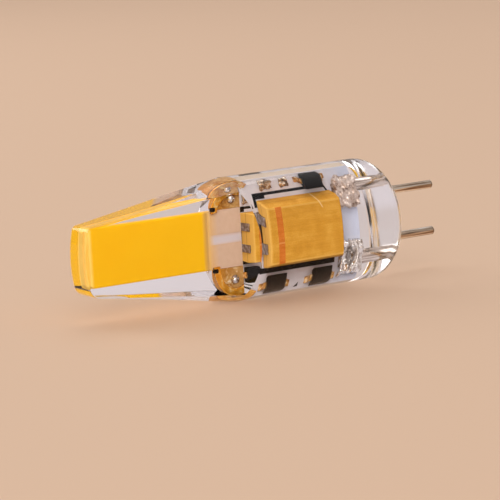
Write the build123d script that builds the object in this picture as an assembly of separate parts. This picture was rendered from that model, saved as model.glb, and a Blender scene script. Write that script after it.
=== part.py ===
from build123d import *
import os

os.makedirs("parts", exist_ok=True)

# Driving sizes of the bulb, in millimetres
pin_pitch = 4.0
pin_diameter = 0.7
pin_free_length = 6.2
pin_tinning = 0.09
pin_tinning_end = 0.02
pin_tinning_reach = 0.15
body_diameter = 10.2
body_length = 28.7
base_edge_radius = 1.8

# Flattened tip: stations run along the axis from the domed tip end
tip_round_radius = 3.0
tip_half_height = 2.75
tip_corner_radius = 0.45
tip_low_corner_radius = 1.0
tip_waist_station = 7.0
tip_waist_drop = 0.2
tip_half_thickness = 1.25
tip_dome_depth = 0.4
foot_station = 13.5
foot_half_thickness = 2.8
crest_station = 13.9
tip_edge_radius = 0.1

# Capacitor on the front of the board
capacitor_length = 7.65
capacitor_width = 4.1
capacitor_height = 1.95
terminal_thickness = 0.12
terminal_reach = 1.3
terminal_half_width = 1.2
terminal_rise = 1.5

# Circuit board, upright in the body and a little above the middle
board_left = 14.75
board_rise = 0.2
board_lead_in = 0.9
board_tail = 2.3
board_margin = 0.7
board_half_thickness = 0.5
slot_length = 2.2
slot_half_width = 0.46
solder_half_width = 1.05
solder_height = 0.55

# Light strip, set flush with the front of the board and a little above the middle
strip_left = 0.42
strip_corner_cut = 0.35
strip_rise = 0.33
strip_half_width = 2.4
carrier_thickness = 0.5
phosphor_left = 0.55
phosphor_right = 11.45
phosphor_thickness = 0.4
phosphor_corner_cut = 0.22
pad_thickness = 0.04
pad_margin = 0.3
pad_half_gap = 0.4
lead_thickness = 0.28
lead_start = 0.22
lead_width = 0.6
lead_landing = 0.4
bead_radius = 0.42
bead_inset = 1.0
resin_length = 2.5
resin_half_reach = 4.35
resin_corner_radius = 1.6
resin_depth = 1.1

# Diodes along the two long edges of the board
diode_length = 1.8
diode_width = 1.3
diode_height = 0.85
diode_gap = 0.45
diode_left_inset = 1.45
diode_upper_inset = 1.85
diode_lower_inset = 1.67

# Parts behind the board
chip_length = 2.9
chip_width = 1.6
chip_height = 1.0
chip_row = -0.4
resistor_length = 2.0
resistor_width = 1.25
resistor_height = 0.5
resistor_cap_length = 0.4

capacitor_left = board_left + board_lead_in
capacitor_right = capacitor_left + capacitor_length
board_right = capacitor_right + board_tail
slot_left = board_right - slot_length
diode_row = capacitor_width / 2 + diode_gap + diode_width / 2
board_half_width = diode_row + board_margin
board_low = board_rise - board_half_width
board_high = board_rise + board_half_width
upper_row = board_rise + diode_row
lower_row = board_rise - diode_row
radius = body_diameter / 2
overall_length = body_length + pin_free_length
front = -board_half_thickness
back = board_half_thickness
to_floor = Pos(-overall_length / 2, 0, radius)

pieces = {}


def block(x0, x1, y0, y1, z0, z1):
    box = Box(x1 - x0, y1 - y0, z1 - z0)
    return Pos((x0 + x1) / 2, (y0 + y1) / 2, (z0 + z1) / 2) * box


def strip(outline, z0, z1):
    face = make_face(Polyline(*outline, close=True))
    return Pos(0, 0, z0) * extrude(face, amount=z1 - z0, dir=(0, 0, 1))


def turned(solid):
    return Rot(180, 0, 0) * solid


def moulded_case(length, width, height, draft):
    middle = Rectangle(length, width)
    upper = extrude(middle, amount=height / 2, taper=draft)
    lower = extrude(middle, amount=-height / 2, taper=draft)
    return Rot(90, 0, 0) * (upper + lower)


# Outside of the clear body: a turned blank, narrowing to the tip
blank_line = Polyline(
    (-1, 0),
    (-1, tip_round_radius - (radius - tip_round_radius) / crest_station),
    (crest_station, radius),
    (body_length, radius),
    (body_length, 0),
    close=True,
)
outside = revolve(make_face(blank_line), axis=Axis.X)
base_edge = [e for e in outside.edges() if abs(e.center().X - body_length) < 0.01]
outside = fillet(base_edge, base_edge_radius)

# Seen from the front the tip has a domed end, round corners and slightly hollow sloping sides
dome_line = ThreePointArc(
    (tip_dome_depth, -tip_half_height),
    (0, 0),
    (tip_dome_depth, tip_half_height),
)
crest_height = radius + 0.05
waist_share = (tip_waist_station - tip_dome_depth) / (crest_station - tip_dome_depth)
waist_height = tip_half_height + (crest_height - tip_half_height) * waist_share - tip_waist_drop
upper_side = ThreePointArc(
    (tip_dome_depth, tip_half_height),
    (tip_waist_station, waist_height),
    (crest_station, crest_height),
)
lower_side = ThreePointArc(
    (tip_dome_depth, -tip_half_height),
    (tip_waist_station, -waist_height),
    (crest_station, -crest_height),
)
rear_line = Polyline(
    (crest_station, crest_height),
    (body_length + 1, radius + 1),
    (body_length + 1, -radius - 1),
    (crest_station, -crest_height),
)
outline = make_face([dome_line, upper_side, rear_line, lower_side])
corners = [v for v in outline.vertices() if abs(v.X - tip_dome_depth) < 0.01]
outline = fillet([v for v in corners if v.Y > 0], tip_corner_radius)
corners = [v for v in outline.vertices() if abs(v.X - tip_dome_depth) < 0.01]
outline = fillet([v for v in corners if v.Y < 0], tip_low_corner_radius)
outside = outside & extrude(Plane.XZ * outline, amount=8, both=True)

# Front and back flats of the tip, each ending in a shoulder
spread = (foot_half_thickness - tip_half_thickness) / foot_station
flat = make_face(
    Polyline(
        (-1, -tip_half_thickness + spread),
        (foot_station, -foot_half_thickness),
        (crest_station, -radius),
        (crest_station, -radius - 2),
        (-1, -radius - 2),
        close=True,
    )
)
flat = extrude(flat, amount=8, both=True)
outside = outside - flat - mirror(flat, about=Plane.XZ)
outside = outside.solids()[0]

# Soft edges around each flat
flat_edges = []
for e in outside.edges():
    middle = e.position_at(0.5)
    depth = tip_half_thickness + spread * middle.X
    if abs(abs(middle.Y) - depth) < 0.02 and middle.X < foot_station - 0.1:
        flat_edges.append(e)
outside = fillet(flat_edges, tip_edge_radius).solids()[0]

# Contact pins: bare wire outside, a coat of solder on the part cast in that thins outwards
tinned_end = body_length + pin_tinning_reach
for name, z in (("upper", pin_pitch / 2), ("lower", -pin_pitch / 2)):
    bare = Cylinder(pin_diameter / 2, overall_length - slot_left)
    bare = chamfer(bare.edges().sort_by(Axis.Z)[-1], pin_diameter * 0.17)
    bare = Pos((overall_length + slot_left) / 2, 0, z) * Rot(0, 90, 0) * bare
    thick = pin_diameter / 2 + pin_tinning
    thin = pin_diameter / 2 + pin_tinning_end
    coat = Cone(thick, thin, tinned_end - slot_left)
    coat = Pos((tinned_end + slot_left) / 2, 0, z) * Rot(0, 90, 0) * coat
    pieces["contact_pin_" + name] = bare + coat

# Circuit board with an open slot for each pin
board = block(board_left, board_right, front, back, board_low, board_high)
for z in (pin_pitch / 2, -pin_pitch / 2):
    low = z - slot_half_width
    high = z + slot_half_width
    board -= block(slot_left, board_right + 1, front - 1, back + 1, low, high)
pieces["circuit_board"] = board

# Solder that fills each slot and stands up on both faces of the board
for name, z in (("upper", pin_pitch / 2), ("lower", -pin_pitch / 2)):
    start = slot_left + 0.05
    low = z - solder_half_width
    high = z + solder_half_width
    mound = block(start, board_right + 0.15, front - solder_height, front, low, high)
    mound = fillet(mound.faces().sort_by(Axis.Y)[0].edges(), 0.25)
    heel = block(start + 0.15, board_right, back, back + 0.3, low + 0.08, high - 0.08)
    heel = fillet(heel.faces().sort_by(Axis.Y)[-1].edges(), 0.2)
    core = block(start, board_right, front, back, z - slot_half_width, z + slot_half_width)
    pieces["pin_solder_" + name] = mound + heel + core - pieces["contact_pin_" + name] - board

# Light strip: pale carrier, phosphor on both faces, two plated pads on the tail
strip_low = strip_rise - strip_half_width
strip_high = strip_rise + strip_half_width
carrier_front = front + pad_thickness
carrier_back = carrier_front + carrier_thickness
carrier = block(strip_left, board_left, carrier_front, carrier_back, strip_low, strip_high)
tip_corners = carrier.edges().filter_by(Axis.Y).sort_by(Axis.X)[:2]
pieces["strip_carrier"] = chamfer(tip_corners, strip_corner_cut)
coat = block(
    phosphor_left,
    phosphor_right,
    carrier_front - phosphor_thickness,
    carrier_front,
    strip_low + 0.03,
    strip_high - 0.03,
)
coat_corners = coat.edges().filter_by(Axis.Y).sort_by(Axis.X)[:2]
coat = chamfer(coat_corners, phosphor_corner_cut)
coat = fillet(coat.faces().sort_by(Axis.Y)[0].edges(), 0.15)
pieces["phosphor_front"] = coat
pieces["phosphor_back"] = Pos(0, carrier_front + carrier_back, 0) * mirror(coat, about=Plane.XZ)
pad_left = phosphor_right + pad_margin
pad_right = board_left - 0.25
pieces["strip_pad_upper"] = block(
    pad_left, pad_right, front, carrier_front, strip_rise + pad_half_gap, strip_high - 0.15
)
pieces["strip_pad_lower"] = block(
    pad_left, pad_right, front, carrier_front, strip_low + 0.15, strip_rise - pad_half_gap
)

# Flat leads, each curving out from the edge of the strip and back in to the board
resin_left = board_left - resin_length
lead_row = board_half_width - 0.55
lead_bow = resin_half_reach - 0.25
for name, side, edge in (("upper", 1, strip_high), ("lower", -1, strip_low)):
    line = Spline(
        (board_left - 2.72, edge - side * lead_start),
        (board_left - 2.65, edge + side * 0.35),
        (board_left - 2.0, side * (lead_bow - 0.35)),
        (board_left - 1.05, side * lead_bow),
        (board_left + lead_landing, board_rise + side * lead_row),
    )
    lead = extrude(Plane.XZ * trace(line, lead_width), amount=lead_thickness, dir=(0, -1, 0))
    pieces["strip_lead_" + name] = Pos(0, front, 0) * lead
    bead_place = Pos(board_left - bead_inset, front + 0.1, board_rise + side * lead_row)
    bead = bead_place * Sphere(bead_radius)
    bead &= block(resin_left, board_left, front - 1, front, -resin_half_reach, resin_half_reach)
    pieces["strip_solder_" + name] = bead - pieces["strip_lead_" + name]

# Amber fixing resin beside the tail of the strip
for name, z0, z1 in (
    ("upper", strip_high, resin_half_reach),
    ("lower", -resin_half_reach, strip_low),
):
    dab = block(resin_left, board_left, front, resin_depth, z0, z1)
    outer = z1 if name == "upper" else z0
    corner = dab.edges().filter_by(Axis.Y).sort_by(Axis.X)[:2]
    corner = [e for e in corner if abs(e.center().Z - outer) < 0.01]
    dab = fillet(corner, resin_corner_radius)
    rim = [e for e in dab.edges() if abs(e.center().Z - outer) < resin_corner_radius]
    rim = [e for e in rim if abs(e.center().Y - front) < 0.01 or abs(e.center().Y - resin_depth) < 0.01]
    rim = [e for e in rim if e.center().X < board_left - 0.05]
    dab = fillet(rim, 0.2)
    pieces["fixing_resin_" + name] = dab

# Capacitor: drafted case on two folded terminals, the left one forked
case_under = front - 0.1
case_length = capacitor_length - 2 * terminal_thickness
case_middle = case_under - (capacitor_height - 0.1) / 2
case_centre = (capacitor_left + capacitor_right) / 2
case = moulded_case(case_length, capacitor_width, capacitor_height - 0.1, 5)
case = Pos(case_centre, case_middle, board_rise) * case
pieces["capacitor_case"] = case
near = capacitor_left
low = board_rise - terminal_half_width
high = board_rise + terminal_half_width
fork_low = board_rise - 0.46 * terminal_half_width
fork_high = board_rise + 0.46 * terminal_half_width
wall_top = front - terminal_rise
wall = block(near, near + 2 * terminal_thickness, wall_top, front, low, high)
foot = block(near, near + terminal_reach, case_under, front, low, high)
fork = block(near - 1, near + 1, wall_top - 1, case_under - 0.25, fork_low, fork_high)
pieces["capacitor_anode"] = wall + foot - fork - case
far = capacitor_right
wall = block(far - 2 * terminal_thickness, far, wall_top, front, low, high)
foot = block(far - terminal_reach, far, case_under, front, low, high)
pieces["capacitor_cathode"] = wall + foot - case


# Diodes: a drafted case between two bent leads
def add_diode(name, x, z, behind):
    under = front - 0.05
    middle = under - diode_height / 2
    half = diode_length / 2
    bend = [
        (-half + 0.1, middle - 0.06),
        (-half - 0.2, middle - 0.06),
        (-half - 0.34, front - 0.12),
        (-half - 0.6, front - 0.12),
        (-half - 0.6, front),
        (-half - 0.24, front),
        (-half - 0.1, middle + 0.06),
        (-half + 0.1, middle + 0.06),
    ]
    case = Pos(0, middle, 0) * moulded_case(diode_length, diode_width, diode_height, 6)
    lead = strip(bend, -0.25, 0.25) - case
    group = {
        "case": case,
        "lead_left": lead,
        "lead_right": mirror(lead, about=Plane.YZ),
    }
    for part_name, solid in group.items():
        if behind:
            solid = turned(solid)
        pieces[name + "_" + part_name] = Pos(x, 0, z) * solid


add_diode("diode_upper_right", capacitor_right - diode_upper_inset, upper_row, False)
add_diode("diode_lower_left", capacitor_left + diode_left_inset, lower_row, False)
add_diode("diode_lower_right", capacitor_right - diode_lower_inset, lower_row, False)
add_diode("diode_behind", capacitor_left + diode_left_inset, upper_row, True)

# Empty place at the upper left: two lands with a mound of solder each
for name, start, end, high in (("left", 0.85, 2.05, 0.28), ("right", 2.85, 3.65, 0.2)):
    x0 = capacitor_left + start
    x1 = capacitor_left + end
    mound = block(x0, x1, front - high, front, upper_row - 0.45, upper_row + 0.45)
    pieces["spare_land_" + name] = fillet(mound.faces().sort_by(Axis.Y)[0].edges(), 0.12)

# Current regulator behind the board: a drafted case on three bent legs
chip_centre = case_centre
chip_middle = back + 0.08 + chip_height / 2
chip_side = chip_width / 2
chip = moulded_case(chip_length, chip_width, chip_height, 6)
chip = Pos(chip_centre, chip_middle, chip_row) * chip
pieces["regulator_case"] = chip
bend = [
    (chip_side - 0.1, chip_middle + 0.06),
    (chip_side + 0.2, chip_middle + 0.06),
    (chip_side + 0.34, back + 0.12),
    (chip_side + 0.6, back + 0.12),
    (chip_side + 0.6, back),
    (chip_side + 0.23, back),
    (chip_side + 0.1, chip_middle - 0.06),
    (chip_side - 0.1, chip_middle - 0.06),
]
leg = strip(bend, -0.2, 0.2)
leg_up = Pos(chip_centre, 0, chip_row) * Rot(0, -90, 0) * leg
leg_down = Rot(0, 90, 0) * leg
leg_step = chip_length / 2 - 0.5
pieces["regulator_leg_far"] = leg_up - chip
pieces["regulator_leg_left"] = Pos(chip_centre - leg_step, 0, chip_row) * leg_down - chip
pieces["regulator_leg_right"] = Pos(chip_centre + leg_step, 0, chip_row) * leg_down - chip

# Sense resistor behind the board
x0 = capacitor_left - 0.2
x1 = x0 + resistor_length
z1 = chip_row - 0.55
z0 = z1 - resistor_width
cap = resistor_cap_length
pieces["resistor_body"] = block(x0 + cap, x1 - cap, back, back + resistor_height, z0, z1)
pieces["resistor_cap_left"] = block(x0, x0 + cap, back, back + resistor_height + 0.02, z0, z1)
pieces["resistor_cap_right"] = block(x1 - cap, x1, back, back + resistor_height + 0.02, z0, z1)

# Clear body: the outside less everything cast into it
body = outside
for solid in pieces.values():
    body = body - solid
pieces["clear_body"] = body

for name, solid in pieces.items():
    export_step(to_floor * solid, "parts/" + name + ".step")
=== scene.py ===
import math

import bpy
from mathutils import Matrix, Vector


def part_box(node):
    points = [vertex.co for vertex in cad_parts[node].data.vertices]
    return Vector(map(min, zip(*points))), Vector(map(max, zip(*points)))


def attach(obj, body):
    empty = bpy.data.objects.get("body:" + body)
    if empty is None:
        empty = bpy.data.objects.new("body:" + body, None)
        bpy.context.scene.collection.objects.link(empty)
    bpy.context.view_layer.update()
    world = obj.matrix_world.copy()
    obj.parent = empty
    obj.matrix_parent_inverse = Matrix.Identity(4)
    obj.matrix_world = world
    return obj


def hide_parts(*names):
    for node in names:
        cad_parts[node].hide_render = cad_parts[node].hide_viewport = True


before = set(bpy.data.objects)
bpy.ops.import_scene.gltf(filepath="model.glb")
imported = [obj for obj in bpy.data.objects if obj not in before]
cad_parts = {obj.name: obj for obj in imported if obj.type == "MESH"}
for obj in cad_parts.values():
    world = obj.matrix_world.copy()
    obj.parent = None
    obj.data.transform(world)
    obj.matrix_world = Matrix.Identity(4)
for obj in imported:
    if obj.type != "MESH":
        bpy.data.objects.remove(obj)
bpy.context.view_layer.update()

# Circuit board: an upright slip of glass-fibre laminate under white lacquer, with faint
# copper tracks below it and a black printed frame round the place of the capacitor.
# It is cast into the barrel, and its right end is slotted for the two contact pins.
mm = 0.001
weld = 0.002 * mm
sliver = 0.0004 * mm
rounded = math.radians(50)


class Wire:
    """One socket of a finish, so that masks and mixes can be written as sums."""

    def __init__(self, tree, socket=None):
        self.tree = tree
        self.socket = socket

    def make(self, kind, settings=None, inputs=None, output=0):
        node = self.tree.nodes.new("ShaderNode" + kind)
        for name, value in (settings or {}).items():
            if name == "stops":
                ramp = node.color_ramp
                while len(ramp.elements) < len(value):
                    ramp.elements.new(1.0)
                for element, (position, colour) in zip(ramp.elements, value):
                    element.position = position
                    element.color = colour
            else:
                setattr(node, name, value)
        for name, value in (inputs or {}).items():
            if isinstance(value, Wire):
                self.tree.links.new(value.socket, node.inputs[name])
            else:
                node.inputs[name].default_value = value
        return Wire(self.tree, node.outputs[output])

    def other(self, output):
        return Wire(self.tree, self.socket.node.outputs[output])

    def sum(self, operation, *values, clamp=False):
        settings = {"operation": operation, "use_clamp": clamp}
        return self.make("Math", settings, dict(enumerate(values)))

    def __add__(self, value):
        return self.sum("ADD", self, value)

    def __radd__(self, value):
        return self.sum("ADD", value, self)

    def __sub__(self, value):
        return self.sum("SUBTRACT", self, value)

    def __rsub__(self, value):
        return self.sum("SUBTRACT", value, self)

    def __mul__(self, value):
        return self.sum("MULTIPLY", self, value)

    def __truediv__(self, value):
        return self.sum("DIVIDE", self, value)

    def __pow__(self, value):
        return self.sum("POWER", self, value)

    def clip(self):
        return self.sum("ADD", self, 0.0, clamp=True)

    def between(self, low, high, soft):
        rise = ((self - (low - soft / 2)) / soft).clip()
        fall = (((high + soft / 2) - self) / soft).clip()
        return rise * fall

    def blend(self, first, second):
        inputs = {0: self, 6: first, 7: second}
        return self.make("Mix", {"data_type": "RGBA"}, inputs, 2)


def tone(red, green, blue):
    shades = [c / 255 for c in (red, green, blue)]
    linear = [c / 12.92 if c <= 0.04045 else ((c + 0.055) / 1.055) ** 2.4 for c in shades]
    return (*linear, 1.0)


def new_finish(name, **fixed):
    material = bpy.data.materials.new(name)
    material.use_nodes = True
    shader = material.node_tree.nodes["Principled BSDF"]
    for socket, value in fixed.items():
        shader.inputs[socket.replace("_", " ")].default_value = value
    return material, shader, Wire(material.node_tree)


def feed(shader, **wires):
    for socket, wire in wires.items():
        wire.tree.links.new(wire.socket, shader.inputs[socket.replace("_", " ")])


def grain(wire, size, detail=2.0, roughness=0.5):
    place = wire.make("TexCoord", output="Object")
    inputs = {"Vector": place, "Scale": 1 / size, "Detail": detail, "Roughness": roughness}
    return wire.make("TexNoise", None, inputs)


def streaks(wire, size, stretch):
    place = wire.make("TexCoord", output="Object")
    drawn = wire.make("Mapping", None, {"Vector": place, "Scale": (1 / stretch, 1, 1)})
    return wire.make("TexNoise", None, {"Vector": drawn, "Scale": 1 / size, "Detail": 2.0})


def shades(wire, amount, *stops):
    return wire.make("ValToRGB", {"stops": stops}, {"Fac": amount})


def relief(wire, height, depth):
    return wire.make("Bump", None, {"Height": height, "Distance": depth, "Strength": 1.0})


def along(wire):
    place = wire.make("TexCoord", output="Object")
    split = wire.make("SeparateXYZ", None, {"Vector": place})
    return split, split.other("Y"), split.other("Z")


def softened(node, width, segments=3):
    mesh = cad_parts[node].data.copy()
    piece = bpy.data.objects.new(node + "_finished", mesh)
    bpy.context.scene.collection.objects.link(piece)
    bpy.ops.object.select_all(action="DESELECT")
    bpy.context.view_layer.objects.active = piece
    piece.select_set(True)
    bpy.ops.mesh.customdata_custom_splitnormals_clear()
    bpy.ops.object.mode_set(mode="EDIT")
    bpy.ops.mesh.select_all(action="SELECT")
    bpy.ops.mesh.remove_doubles(threshold=weld)
    bpy.ops.mesh.dissolve_limited(angle_limit=math.radians(1))
    bpy.ops.object.mode_set(mode="OBJECT")
    bevel = piece.modifiers.new("soft edges", "BEVEL")
    bevel.width = width
    bevel.segments = segments
    bevel.limit_method = "ANGLE"
    bevel.angle_limit = math.radians(25)
    bpy.ops.object.modifier_apply(modifier=bevel.name)
    bpy.ops.object.mode_set(mode="EDIT")
    bpy.ops.mesh.select_all(action="SELECT")
    bpy.ops.mesh.dissolve_degenerate(threshold=sliver)
    bpy.ops.object.mode_set(mode="OBJECT")
    bpy.ops.object.shade_smooth_by_angle(angle=rounded)
    flow = piece.modifiers.new("even faces", "WEIGHTED_NORMAL")
    flow.keep_sharp = True
    bpy.ops.object.modifier_apply(modifier=flow.name)
    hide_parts(node)
    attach(piece, "root")
    return piece


def dress(piece, material):
    piece.data.materials.clear()
    piece.data.materials.append(material)


board = softened("circuit_board", 0.04 * mm, 2)
lacquer, shader, wire = new_finish("white_lacquer", IOR=1.12)
x, y, z = along(wire)
board_low, board_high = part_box("circuit_board")
depth_middle = (board_low.y + board_high.y) / 2
lacquered = 1 - y.between(depth_middle - 0.44 * mm, depth_middle + 0.44 * mm, 0.02 * mm)
front_face = y.between(board_low.y - 0.1 * mm, board_low.y + 0.02 * mm, 0.01 * mm)
edge_soft = 0.03 * mm
print_left = -1.8 * mm
top_bar = x.between(print_left, 5.15 * mm, edge_soft) * z.between(7.50 * mm, 7.72 * mm, edge_soft)
top_block = x.between(print_left, -0.65 * mm, edge_soft) * z.between(7.28 * mm, 7.72 * mm, edge_soft)
left_bar = x.between(print_left, -1.54 * mm, edge_soft) * z.between(6.75 * mm, 7.7 * mm, edge_soft)
low_left = x.between(-1.98 * mm, -1.72 * mm, edge_soft) * z.between(2.99 * mm, 3.6 * mm, edge_soft)
low_bar = x.between(-1.98 * mm, 5.55 * mm, edge_soft) * z.between(2.99 * mm, 3.3 * mm, edge_soft)
slope = (x + z * 0.6).between(9.66 * mm, 9.86 * mm, edge_soft)
slope = slope * z.between(7.1 * mm, 7.66 * mm, edge_soft)
arrow = x.between(1.72 * mm, 2.14 * mm, edge_soft)
arrow = arrow * (z - x * 0.9).between(-0.5 * mm, 0.22 * mm, edge_soft)
arrow = arrow * z.between(1.76 * mm, 2.3 * mm, edge_soft)
ink = (top_bar + top_block + left_bar + low_left + low_bar + slope + arrow) * front_face
mottle = grain(wire, 0.7 * mm, 3.0)
weave = grain(wire, 0.12 * mm, 1.0)
ink = (ink * (0.86 + weave * 0.3)).clip()
white = mottle.blend(tone(212, 206, 209), tone(228, 223, 225))
track = z.between(5.9 * mm, 6.35 * mm, 0.05 * mm) + z.between(3.7 * mm, 4.3 * mm, 0.05 * mm)
track = (track * x.between(5.4 * mm, 8.3 * mm, 0.1 * mm)).clip()
bluish = ((x - 4.6 * mm) / (3.0 * mm)).clip() * 0.75
white = bluish.blend(white, mottle.blend(tone(198, 207, 229), tone(213, 221, 240)))
white = (track * 0.35).blend(white, tone(226, 226, 236))
end_grain = x.between(board_high.x - 0.06 * mm, board_high.x + 0.1 * mm, 0.02 * mm)
laminate = end_grain.blend(tone(206, 188, 168), tone(186, 170, 154))
white = lacquered.blend(laminate, white)
# Painted shade: a dark line on the front face along the board's left end, standing for the shade in
# the gap where the strip's tail meets it.
joint_shade = x.between(board_low.x - 0.1 * mm, board_low.x + 0.07 * mm, 0.02 * mm) * front_face
white = (joint_shade * 0.85).blend(white, tone(72, 54, 42))
colour = ink.blend(white, tone(12, 9, 10))
feed(shader, Base_Color=colour, Roughness=0.38 + weave * 0.15 + ink * 0.1)
feed(shader, Normal=relief(wire, weave + track * 0.5, 0.004 * mm))
dress(board, lacquer)

# Light strip: a pale ceramic carrier coated with yellow phosphor on both faces. Its bare
# tail, which meets the board, carries two plated pads.
carrier = softened("strip_carrier", 0.04 * mm, 2)
ceramic, shader, wire = new_finish("pale_ceramic", IOR=1.12, Emission_Strength=0.11)
x, y, z = along(wire)
cloud = grain(wire, 0.8 * mm, 3.0)
speck = grain(wire, 0.06 * mm, 1.0)
peach = cloud.blend(tone(218, 182, 152), tone(228, 198, 172))
# A pale lavender band runs along the middle of the tail.
pale_band = z.between(5.05 * mm, 5.75 * mm, 0.35 * mm) * x.between(-5.8 * mm, -2.0 * mm, 0.6 * mm)
peach = (pale_band * 0.8).blend(peach, tone(216, 208, 212))
# Painted glow: near the end of the coat the carrier is painted yellow, and its tip is painted yellow
# and made to glow faintly, standing for the phosphor's light spreading through the ceramic.
glow = 1 - ((x + 6.15 * mm) / (0.75 * mm)).clip()
tip_glow = 1 - ((x + 17.05 * mm) / (0.5 * mm)).clip()
colour = (glow * 0.85).blend(peach, tone(250, 196, 60))
colour = (tip_glow * 0.8).blend(colour, tone(246, 202, 98))
feed(shader, Base_Color=colour, Roughness=0.35 + speck * 0.2)
feed(shader, Emission_Color=tip_glow.blend(tone(0, 0, 0), tone(252, 206, 92)))
feed(shader, Normal=relief(wire, speck, 0.003 * mm))
dress(carrier, ceramic)

phosphor, shader, wire = new_finish("yellow_phosphor", IOR=1.08, Emission_Strength=0.24)
x, y, z = along(wire)
cloud = grain(wire, 1.5 * mm, 2.0)
speck = grain(wire, 0.05 * mm, 2.0)
mix = (cloud * 0.7 + speck * 0.3).clip()
yellow = mix.blend(tone(226, 164, 10), tone(230, 176, 24))
thin_left = 1 - ((x + 16.88 * mm) / (0.25 * mm)).clip()
thin_right = ((x + 6.7 * mm) / (0.75 * mm)).clip()
yellow = (thin_left * 0.7).blend(yellow, tone(248, 212, 120))
yellow = (thin_right * 0.8).blend(yellow, tone(236, 194, 140))
# Painted glow: the phosphor is given a faint emission that lifts its shaded sides. The glow is
# brighter at its thin left end and almost absent at its right end.
painted_glow = (thin_left * 0.5).blend(tone(255, 196, 22), tone(255, 214, 110))
painted_glow = (thin_right * 0.9).blend(painted_glow, tone(40, 26, 8))
feed(shader, Base_Color=yellow, Emission_Color=painted_glow, Roughness=0.5 + speck * 0.2)
feed(shader, Normal=relief(wire, speck, 0.004 * mm))
carrier_low, carrier_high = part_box("strip_carrier")
coat_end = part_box("phosphor_front")[1].x
run_out = 1.3
for node in ("phosphor_front", "phosphor_back"):
    coat = softened(node, 0.03 * mm, 2)
    for vertex in coat.data.vertices:
        if vertex.co.x > coat_end - 0.2 * mm:
            stand = max(carrier_low.y - vertex.co.y, vertex.co.y - carrier_high.y, 0)
            vertex.co.x -= stand * run_out
    bpy.ops.object.shade_smooth_by_angle(angle=rounded)
    dress(coat, phosphor)

plating, shader, wire = new_finish("plated_pad", IOR=1.12)
x, y, z = along(wire)
cloud = grain(wire, 0.5 * mm, 3.0)
speck = grain(wire, 0.07 * mm, 1.0)
# Painted glow: the pads are painted yellow towards the coat, standing for the phosphor's light
# spreading into them.
glow = 1 - ((x + 5.95 * mm) / (0.9 * mm)).clip()
peach = cloud.blend(tone(214, 178, 148), tone(226, 194, 166))
feed(shader, Base_Color=(glow * 0.8).blend(peach, tone(240, 190, 110)))
feed(shader, Roughness=0.35 + cloud * 0.2)
feed(shader, Normal=relief(wire, speck, 0.003 * mm))
for node in ("strip_pad_upper", "strip_pad_lower"):
    pad = softened(node, 0.01 * mm, 1)
    dress(pad, plating)

# Leads of the strip: thick gilt ribbons that curve from the edges of the strip round to the
# board, bright on their rounded faces, with painted shade on their sides where they sink into
# the resin, each with a bead of solder beside its bend.
ribbon, shader, wire = new_finish("gilt_ribbon", Metallic=0.6)
x, y, z = along(wire)
cloud = grain(wire, 0.35 * mm, 3.0)
gold = shades(wire, cloud, (0.34, tone(222, 142, 26)), (0.56, tone(244, 172, 52)),
              (0.7, tone(255, 224, 150)))
side_shade = y.between(board_low.y - 0.16 * mm, board_low.y + 0.2 * mm, 0.1 * mm)
feed(shader, Base_Color=(side_shade * 0.85).blend(gold, tone(92, 52, 14)))
feed(shader, Roughness=0.16 + cloud * 0.16)
feed(shader, Normal=relief(wire, cloud, 0.01 * mm))
for node in ("strip_lead_upper", "strip_lead_lower"):
    lead = softened(node, 0.11 * mm, 4)
    dress(lead, ribbon)

tin, shader, wire = new_finish("bright_solder", Metallic=1.0)
lump = grain(wire, 0.35 * mm, 3.0)
speck = grain(wire, 0.08 * mm, 2.0)
silver = shades(wire, lump, (0.3, tone(126, 108, 94)), (0.52, tone(214, 206, 200)),
                (0.66, tone(255, 253, 250)))
feed(shader, Base_Color=silver)
feed(shader, Roughness=0.14 + speck * 0.2)
feed(shader, Normal=relief(wire, lump + speck * 0.1, 0.05 * mm))
for node in ("strip_solder_upper", "strip_solder_lower"):
    bead = softened(node, 0.02 * mm, 2)
    dress(bead, tin)

# Clips at the edges of the strip: a black pinch of metal holds the start of each lead.
soot, shader, wire = new_finish("black_clip", IOR=1.1)
speck = grain(wire, 0.05 * mm, 2.0)
feed(shader, Base_Color=speck.blend(tone(14, 10, 8), tone(40, 28, 20)))
feed(shader, Roughness=0.4 + speck * 0.2)
for name, height in (("strip_clip_upper", 7.93 * mm), ("strip_clip_lower", 2.93 * mm)):
    bpy.ops.object.select_all(action="DESELECT")
    bpy.ops.mesh.primitive_cube_add(size=1, location=(-5.58 * mm, -0.71 * mm, height))
    clip = bpy.context.object
    clip.name = name
    clip.scale = (0.44 * mm, 0.42 * mm, 0.36 * mm)
    bpy.ops.object.transform_apply(location=True, rotation=True, scale=True)
    bpy.ops.object.mode_set(mode="EDIT")
    bpy.ops.mesh.select_all(action="SELECT")
    bpy.ops.mesh.bevel(offset=0.12 * mm, segments=4, profile=0.5)
    bpy.ops.object.mode_set(mode="OBJECT")
    bpy.ops.object.shade_smooth_by_angle(angle=rounded)
    dress(clip, soot)
    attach(clip, "root")

# Fixing resin: two amber dabs that bond the tail of the strip to the end of the board.
amber, shader, wire = new_finish("amber_resin", IOR=1.15)
swirl = grain(wire, 0.55 * mm, 3.0)
swirl.socket.node.inputs["Distortion"].default_value = 1.6
# The palest stop of this ramp is painted highlight: pale crescents standing for glints in the resin.
amber_and_highlights = shades(wire, swirl, (0.30, tone(158, 98, 34)), (0.48, tone(184, 126, 56)),
               (0.62, tone(204, 158, 92)), (0.72, tone(240, 222, 190)))
x, y, z = along(wire)
outer = 1 - ((x + 5.0 * mm) / (0.5 * mm)).clip()
inner = ((x + 4.3 * mm) / (0.6 * mm)).clip()
amber_and_highlights = (outer * 0.7).blend(amber_and_highlights, tone(216, 144, 40))
amber_and_highlights = (inner * 0.45).blend(amber_and_highlights, tone(206, 164, 104))
feed(shader, Base_Color=amber_and_highlights, Roughness=0.2 + swirl * 0.1)
feed(shader, Normal=relief(wire, swirl, 0.12 * mm))
for node in ("fixing_resin_upper", "fixing_resin_lower"):
    dab = softened(node, 0.15 * mm, 3)
    dress(dab, amber)

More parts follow.
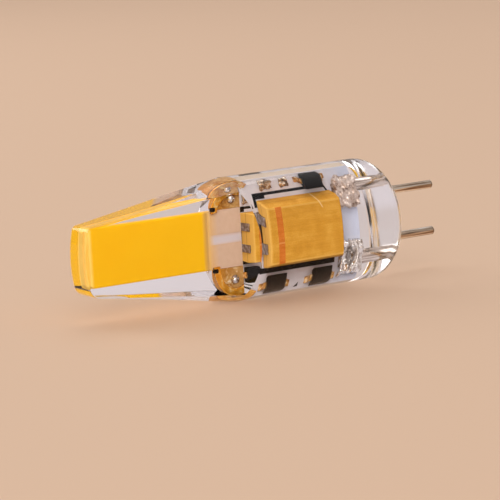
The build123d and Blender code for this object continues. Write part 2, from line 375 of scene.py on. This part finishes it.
# Capacitor: a mustard moulded case with a burnt-orange bar at its marked end, on two tinned
# terminals that are folded up its ends and under it. Its face carries no lettering.
case = softened("capacitor_case", 0.09 * mm, 3)
mustard, shader, wire = new_finish("mustard_case", IOR=1.12)
x, y, z = along(wire)
case_low, case_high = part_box("capacitor_case")
face = y.between(case_low.y - 0.1 * mm, case_low.y + 0.03 * mm, 0.02 * mm)
bar = x.between(-0.78 * mm, -0.18 * mm, 0.02 * mm) * face
cloud = grain(wire, 1.2 * mm, 3.0)
speck = grain(wire, 0.07 * mm, 3.0, 0.7)
drawn = streaks(wire, 0.16 * mm, 14)
mix = (cloud * 0.34 + speck * 0.52 + drawn * 0.14).clip()
body = shades(wire, mix, (0.36, tone(202, 138, 40)), (0.5, tone(221, 157, 52)),
              (0.64, tone(238, 182, 82)))
# Painted highlight: the case is lighter at its left end, where the rounded end catches the light.
end_highlight = 1 - ((x - case_low.x - 0.1 * mm) / (0.25 * mm)).clip()
body = (end_highlight * 0.8).blend(body, tone(246, 196, 100))
seat = (case_low.y + case_high.y) / 2
mould_line = y.between(seat - 0.03 * mm, seat + 0.03 * mm, 0.03 * mm)
body = (mould_line * 0.6).blend(body, tone(168, 108, 30))
# Painted highlight: the face is lighter along its top and bottom edges, where the rounded edges catch
# the light.
rim_highlight = z.between(case_low.z + 0.24 * mm, case_high.z - 0.24 * mm, 0.06 * mm)
rim_highlight = (1 - rim_highlight) * face
body = (rim_highlight * 0.5).blend(body, tone(240, 190, 96))
scuff = (x + z * 0.55).between(7.52 * mm, 7.6 * mm, 0.05 * mm)
scuff = scuff * z.between(6.75 * mm, 7.4 * mm, 0.1 * mm)
body = (scuff * 0.7).blend(body, tone(250, 230, 176))
orange = shades(wire, mix, (0.38, tone(198, 96, 24)), (0.62, tone(230, 138, 56)))
gap = z.between(4.70 * mm, 4.80 * mm, 0.05 * mm) * 0.6
feed(shader, Base_Color=bar.blend(body, gap.blend(orange, tone(234, 168, 92))))
feed(shader, Roughness=0.42 + speck * 0.2)
feed(shader, Normal=relief(wire, speck * 0.5 + drawn * 0.3 - mould_line, 0.01 * mm))
dress(case, mustard)

dull_tin, shader, wire = new_finish("dull_tin", Metallic=0.9)
x, y, z = along(wire)
cloud = grain(wire, 0.3 * mm, 3.0)
brush = grain(wire, 0.05 * mm, 1.0)
tinned = shades(wire, cloud, (0.34, tone(122, 104, 92)), (0.5, tone(150, 134, 122)),
                (0.66, tone(184, 174, 170)))
# Painted shade: the heel of the fork between the prongs is darkened, standing for the shade in the
# recess there.
fork_heel_shade = z.between(4.75 * mm, 5.85 * mm, 0.1 * mm) * x.between(-2.2 * mm, -1.2 * mm, 0.1 * mm)
feed(shader, Base_Color=(fork_heel_shade * 0.85).blend(tinned, tone(52, 34, 22)))
feed(shader, Roughness=0.28 + brush * 0.2)
feed(shader, Normal=relief(wire, brush, 0.004 * mm))
for node in ("capacitor_anode", "capacitor_cathode"):
    terminal = softened(node, 0.03 * mm, 2)
    dress(terminal, dull_tin)

# Diodes: black moulded cases on bent gilt leads, three in front of the board and one behind.
# Their feet are soldered to the board.
gilt, shader, wire = new_finish("gilt_metal", Metallic=0.7)
cloud = grain(wire, 0.25 * mm, 3.0)
gold = shades(wire, cloud, (0.34, tone(150, 98, 40)), (0.5, tone(224, 168, 84)),
              (0.66, tone(255, 238, 204)))
feed(shader, Base_Color=gold)
feed(shader, Roughness=0.16 + cloud * 0.16)
feed(shader, Normal=relief(wire, cloud, 0.02 * mm))
black, shader, wire = new_finish("black_moulding", IOR=1.1)
speck = grain(wire, 0.06 * mm, 2.0)
feed(shader, Base_Color=speck.blend(tone(7, 5, 5), tone(24, 18, 15)))
feed(shader, Roughness=0.35 + speck * 0.25)
feed(shader, Normal=relief(wire, speck, 0.006 * mm))
for place in ("upper_right", "lower_left", "lower_right", "behind"):
    case = softened("diode_" + place + "_case", 0.05 * mm, 2)
    dress(case, black)
    for side in ("left", "right"):
        lead = softened("diode_" + place + "_lead_" + side, 0.03 * mm, 2)
        dress(lead, gilt)

# Empty place on the board: two lands, each with a low uneven mound of solder that has run
# over the gilt and taken some of its colour.


def lumpy(piece, voxel, lump_size, lump_height):
    bpy.ops.object.select_all(action="DESELECT")
    bpy.context.view_layer.objects.active = piece
    piece.select_set(True)
    skin = piece.modifiers.new("even skin", "REMESH")
    skin.mode = "VOXEL"
    skin.voxel_size = voxel
    bpy.ops.object.modifier_apply(modifier=skin.name)
    calm = piece.modifiers.new("melted edges", "SMOOTH")
    calm.factor = 0.8
    calm.iterations = 10
    bpy.ops.object.modifier_apply(modifier=calm.name)
    for share in (1.0, 0.4):
        bulge = bpy.data.textures.new(piece.name + "_bulge", "CLOUDS")
        bulge.noise_scale = lump_size * share
        bulge.noise_depth = 1
        swell = piece.modifiers.new("lumps", "DISPLACE")
        swell.texture = bulge
        swell.texture_coords = "LOCAL"
        swell.strength = lump_height * share
        swell.mid_level = 0.5
        bpy.ops.object.modifier_apply(modifier=swell.name)
    bpy.ops.object.shade_smooth()


stained, shader, wire = new_finish("stained_solder", Metallic=0.75)
cloud = grain(wire, 0.3 * mm, 3.0)
brown = shades(wire, cloud, (0.32, tone(96, 68, 40)), (0.5, tone(176, 142, 100)),
               (0.66, tone(250, 240, 222)))
feed(shader, Base_Color=brown)
feed(shader, Roughness=0.16 + cloud * 0.14)
feed(shader, Normal=relief(wire, cloud, 0.03 * mm))
for node in ("spare_land_left", "spare_land_right"):
    land = softened(node, 0.05 * mm, 2)
    lumpy(land, 0.03 * mm, 0.4 * mm, 0.34 * mm)
    dress(land, stained)

# Current regulator and sense resistor, soldered to the back of the board.
chip = softened("regulator_case", 0.06 * mm, 2)
dress(chip, black)
for place in ("left", "right", "far"):
    leg = softened("regulator_leg_" + place, 0.03 * mm, 2)
    dress(leg, dull_tin)
film = softened("resistor_body", 0.04 * mm, 2)
dress(film, black)
for side in ("left", "right"):
    cap = softened("resistor_cap_" + side, 0.04 * mm, 2)
    dress(cap, dull_tin)

# Contact pins: drawn wire with lines along it, bright where it is tinned and cast in, and
# stained brown outside. They are soldered into the slots of the board, the lower one with a
# loop of wire standing on its solder, with painted shade on the solder inside the loop.
bright, shader, wire = new_finish("drawn_wire", Metallic=1.0)
x, y, z = along(wire)
drawn = streaks(wire, 0.14 * mm, 40)
brush = grain(wire, 0.04 * mm, 1.0)
cast_in = 1 - ((x - 11.2 * mm) / (0.1 * mm)).clip()
stained_end = ((x - 17.2 * mm) / (0.15 * mm)).clip()
bare = shades(wire, drawn, (0.37, tone(138, 110, 88)), (0.5, tone(230, 208, 184)),
              (0.6, tone(255, 250, 242)))
bare = (stained_end * 0.7).blend(bare, tone(70, 52, 40))
tinned = shades(wire, drawn, (0.36, tone(156, 138, 124)), (0.6, tone(244, 234, 224)))
feed(shader, Base_Color=cast_in.blend(bare, tinned))
feed(shader, Roughness=0.14 + brush * 0.12)
feed(shader, Normal=relief(wire, drawn, 0.01 * mm))
for node in ("contact_pin_upper", "contact_pin_lower"):
    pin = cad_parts[node]
    dress(pin, bright)
dull_solder, shader, wire = new_finish("grey_solder", Metallic=0.85)
lump = grain(wire, 0.4 * mm, 4.0, 0.6)
speck = grain(wire, 0.09 * mm, 2.0)
mix = (lump * 0.75 + speck * 0.25).clip()
grey = shades(wire, mix, (0.36, tone(134, 112, 96)), (0.47, tone(216, 196, 180)),
              (0.64, tone(248, 236, 226)))
feed(shader, Base_Color=grey)
feed(shader, Roughness=0.3 + speck * 0.25)
feed(shader, Normal=relief(wire, lump, 0.04 * mm))
loop_middle = Vector((6.72 * mm, -1.42 * mm, 3.15 * mm))
hollow_solder, shader, wire = new_finish("hollow_solder", Metallic=1.0)
x, y, z = along(wire)
lump = grain(wire, 0.35 * mm, 3.0)
speck = grain(wire, 0.08 * mm, 2.0)
run = shades(wire, lump, (0.3, tone(150, 134, 120)), (0.5, tone(230, 224, 218)),
             (0.62, tone(255, 253, 250)))
# Painted shade: the solder inside the loop is darkened, standing for the shadow within it.
across = (x - loop_middle.x - 0.15 * mm) / (0.5 * mm)
up = (z - loop_middle.z) / (0.7 * mm)
loop_shade = ((1 - across * across - up * up) * 3).clip()
feed(shader, Base_Color=(loop_shade * 0.62).blend(run, tone(74, 60, 50)))
feed(shader, Roughness=0.14 + speck * 0.2)
feed(shader, Normal=relief(wire, lump + speck * 0.1, 0.05 * mm))
for node, finish in (("pin_solder_upper", dull_solder), ("pin_solder_lower", hollow_solder)):
    mound = softened(node, 0.1 * mm, 3)
    lumpy(mound, 0.05 * mm, 0.6 * mm, 0.5 * mm)
    dress(mound, finish)
bpy.ops.object.select_all(action="DESELECT")
bpy.ops.mesh.primitive_torus_add(
    major_radius=1.0 * mm, minor_radius=0.14 * mm, major_segments=64, minor_segments=12,
    location=loop_middle, rotation=(math.radians(90), 0, 0),
)
loop = bpy.context.object
loop.name = "pin_solder_loop"
bpy.ops.object.transform_apply(location=True, rotation=True, scale=True)
bpy.ops.object.mode_set(mode="EDIT")
bpy.ops.mesh.select_all(action="DESELECT")
bpy.ops.object.mode_set(mode="OBJECT")
for vertex in loop.data.vertices:
    away = vertex.co - loop_middle
    vertex.select = abs(math.atan2(away.z, away.x)) > math.radians(72)
bpy.ops.object.mode_set(mode="EDIT")
bpy.ops.mesh.delete(type="VERT")
bpy.ops.mesh.select_all(action="SELECT")
bpy.ops.mesh.fill_holes(sides=0)
bpy.ops.transform.resize(value=(0.75, 1, 1), center_override=loop_middle)
bpy.ops.mesh.normals_make_consistent(inside=False)
bpy.ops.object.mode_set(mode="OBJECT")
bpy.ops.object.shade_smooth_by_angle(angle=rounded)
wire_end, shader, wire = new_finish("loop_wire", Metallic=0.6)
speck = grain(wire, 0.1 * mm, 2.0)
feed(shader, Base_Color=speck.blend(tone(226, 216, 206), tone(255, 252, 248)))
feed(shader, Roughness=0.2 + speck * 0.15)
dress(loop, wire_end)
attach(loop, "root")

# Clear body: one casting of clear resin round everything above, smooth and glossy. Only its
# outer skin is drawn, because the pieces inside it lie in the resin with no gap.
skin = bpy.data.objects.new("clear_casting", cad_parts["clear_body"].data.copy())
bpy.context.scene.collection.objects.link(skin)
bpy.ops.object.select_all(action="DESELECT")
bpy.context.view_layer.objects.active = skin
skin.select_set(True)
bpy.ops.mesh.customdata_custom_splitnormals_clear()
bpy.ops.object.mode_set(mode="EDIT")
bpy.ops.mesh.select_all(action="SELECT")
bpy.ops.mesh.remove_doubles(threshold=weld)
bpy.ops.mesh.select_all(action="DESELECT")
bpy.ops.object.mode_set(mode="OBJECT")
bpy.context.view_layer.update()
for face in skin.data.polygons:
    start = face.center + face.normal * 0.001 * mm
    face.select = skin.ray_cast(start, face.normal)[0]
bpy.ops.object.mode_set(mode="EDIT")
bpy.ops.mesh.delete(type="FACE")
bpy.ops.mesh.select_all(action="SELECT")
bpy.ops.mesh.fill_holes(sides=0)
bpy.ops.mesh.dissolve_limited(angle_limit=math.radians(0.5))
bpy.ops.mesh.select_all(action="DESELECT")
bpy.ops.object.mode_set(mode="OBJECT")
crest = -3.55 * mm
tip_end = -17.45 * mm
axis_height = 5.1 * mm
tip_radius = 3.0 * mm
widening = (axis_height - tip_radius) / (crest - tip_end)
kinds = {}
for face in skin.data.polygons:
    corners = [skin.data.vertices[i].co for i in face.vertices]
    strays = []
    for corner in corners:
        blank_radius = tip_radius + widening * (corner.x - tip_end)
        strays.append(abs(math.hypot(corner.y, corner.z - axis_height) - blank_radius))
    if abs(face.normal.y) < 0.01:
        kind = "cut side"
    elif max(strays) < 0.015 * mm:
        kind = "turned"
    else:
        kind = "other"
    for key in face.edge_keys:
        kinds.setdefault(key, set()).add(kind)
for edge in skin.data.edges:
    ends = [skin.data.vertices[i].co.x for i in edge.vertices]
    at_crest = max(abs(end - crest) for end in ends) < 0.02 * mm
    edge.use_edge_sharp = at_crest or kinds.get(edge.key) == {"cut side", "turned"}
bpy.ops.object.shade_smooth_by_angle(angle=math.radians(24), keep_sharp_edges=True)
flow = skin.modifiers.new("even faces", "WEIGHTED_NORMAL")
flow.keep_sharp = True
bpy.ops.object.modifier_apply(modifier=flow.name)
resin, shader, wire = new_finish("clear_resin", Transmission_Weight=1.0, IOR=1.42)
x, y, z = along(wire)
poured_end = ((x - 11.0 * mm) / (0.2 * mm)).clip()
feed(shader, Roughness=poured_end * 0.14)
shader.inputs["Base Color"].default_value = tone(252, 251, 252)
shader.inputs["Specular Tint"].default_value = (0.32, 0.32, 0.32, 1)
path = wire.make("LightPath", output="Is Shadow Ray")
through = wire.make("BsdfTransparent", None, {"Color": (0.98, 0.98, 0.98, 1)})
glass = Wire(wire.tree, shader.outputs[0])
either = wire.make("MixShader", None, {0: path, 1: glass, 2: through})
output = wire.tree.nodes["Material Output"]
wire.tree.links.new(either.socket, output.inputs["Surface"])
dress(skin, resin)
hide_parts("clear_body")
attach(skin, "root")

# Floor: a plain pale sheet under the bulb, seen paler through the resin than it is itself.
bpy.ops.mesh.primitive_plane_add(size=4, location=(0, 0, 0))
floor = bpy.context.object
floor.name = "floor"
sheet, shader, wire = new_finish("pale_sheet", Roughness=0.9)
shader.inputs["Base Color"].default_value = tone(213, 180, 152)
x, y, z = along(wire)
path = wire.make("LightPath", output="Is Transmission Ray")
away = (((x * x + y * y) ** 0.5 - 18 * mm) / (6 * mm)).clip()
paleness = away.blend(tone(222, 211, 212), tone(210, 196, 192))
pale = wire.make("Emission", None, {"Color": paleness, "Strength": 1.0})
either = wire.make("MixShader", None, {0: path, 1: Wire(wire.tree, shader.outputs[0]), 2: pale})
wire.tree.links.new(either.socket, wire.tree.nodes["Material Output"].inputs["Surface"])
floor.data.materials.append(sheet)

# Studio light: a pale surround, warm low down and white overhead, and three large soft lamps.
world = bpy.data.worlds.new("studio")
bpy.context.scene.world = world
world.use_nodes = True
sky = Wire(world.node_tree)
height = sky.make("SeparateXYZ", None, {"Vector": sky.make("TexCoord", output="Generated")}).other("Z")
surround = (height * 1.2).clip().blend(tone(196, 172, 150), tone(240, 240, 244))
surround = sky.make("LightPath", output="Is Transmission Ray").blend(surround, tone(255, 240, 236))
background = world.node_tree.nodes["Background"]
world.node_tree.links.new(surround.socket, background.inputs["Color"])
background.inputs["Strength"].default_value = 0.65


def lamp(name, place, size, power):
    light = bpy.data.lights.new(name, "AREA")
    light.size = size
    light.energy = power
    rig = bpy.data.objects.new(name, light)
    bpy.context.scene.collection.objects.link(rig)
    rig.location = place
    aim = Vector((-0.003, 0, 0.005)) - Vector(place)
    rig.rotation_euler = aim.to_track_quat("-Z", "Y").to_euler()


lamp("front", (-0.25, -0.45, 0.32), 0.40, 1.5)
lamp("overhead", (0.10, 0.25, 0.60), 0.50, 1.15)
lamp("behind", (-0.20, 0.45, 0.25), 0.30, 0.9)

# Camera: low, from the tip's side, rolled a little, as the photograph was taken.
turn, rise, roll = (math.radians(a) for a in (-33, 9.1, 3.2))
reach = 200 * mm
spread = 12.27 / mm
picture = 500
aim_across, aim_down = 243.3, 236.9
back = Vector((math.sin(turn) * math.cos(rise), -math.cos(turn) * math.cos(rise), math.sin(rise)))
level = Vector((math.cos(turn), math.sin(turn), 0))
upright = back.cross(level)
side = math.cos(roll) * level - math.sin(roll) * upright
top = math.sin(roll) * level + math.cos(roll) * upright
lens = bpy.data.cameras.new("camera")
camera = bpy.data.objects.new("camera", lens)
bpy.context.scene.collection.objects.link(camera)
turned = Matrix((side, top, back)).transposed().to_4x4()
camera.matrix_world = Matrix.Translation(Vector((-1.95 * mm, 0, 5.1 * mm)) + back * reach) @ turned
lens.sensor_width = 36
lens.lens = spread * reach * lens.sensor_width / picture
lens.shift_x = -(aim_across - picture / 2) / picture
lens.shift_y = (aim_down - picture / 2) / picture
lens.clip_start = 0.01
lens.clip_end = 20
bpy.context.scene.camera = camera
bpy.context.scene.view_settings.view_transform = "Standard"
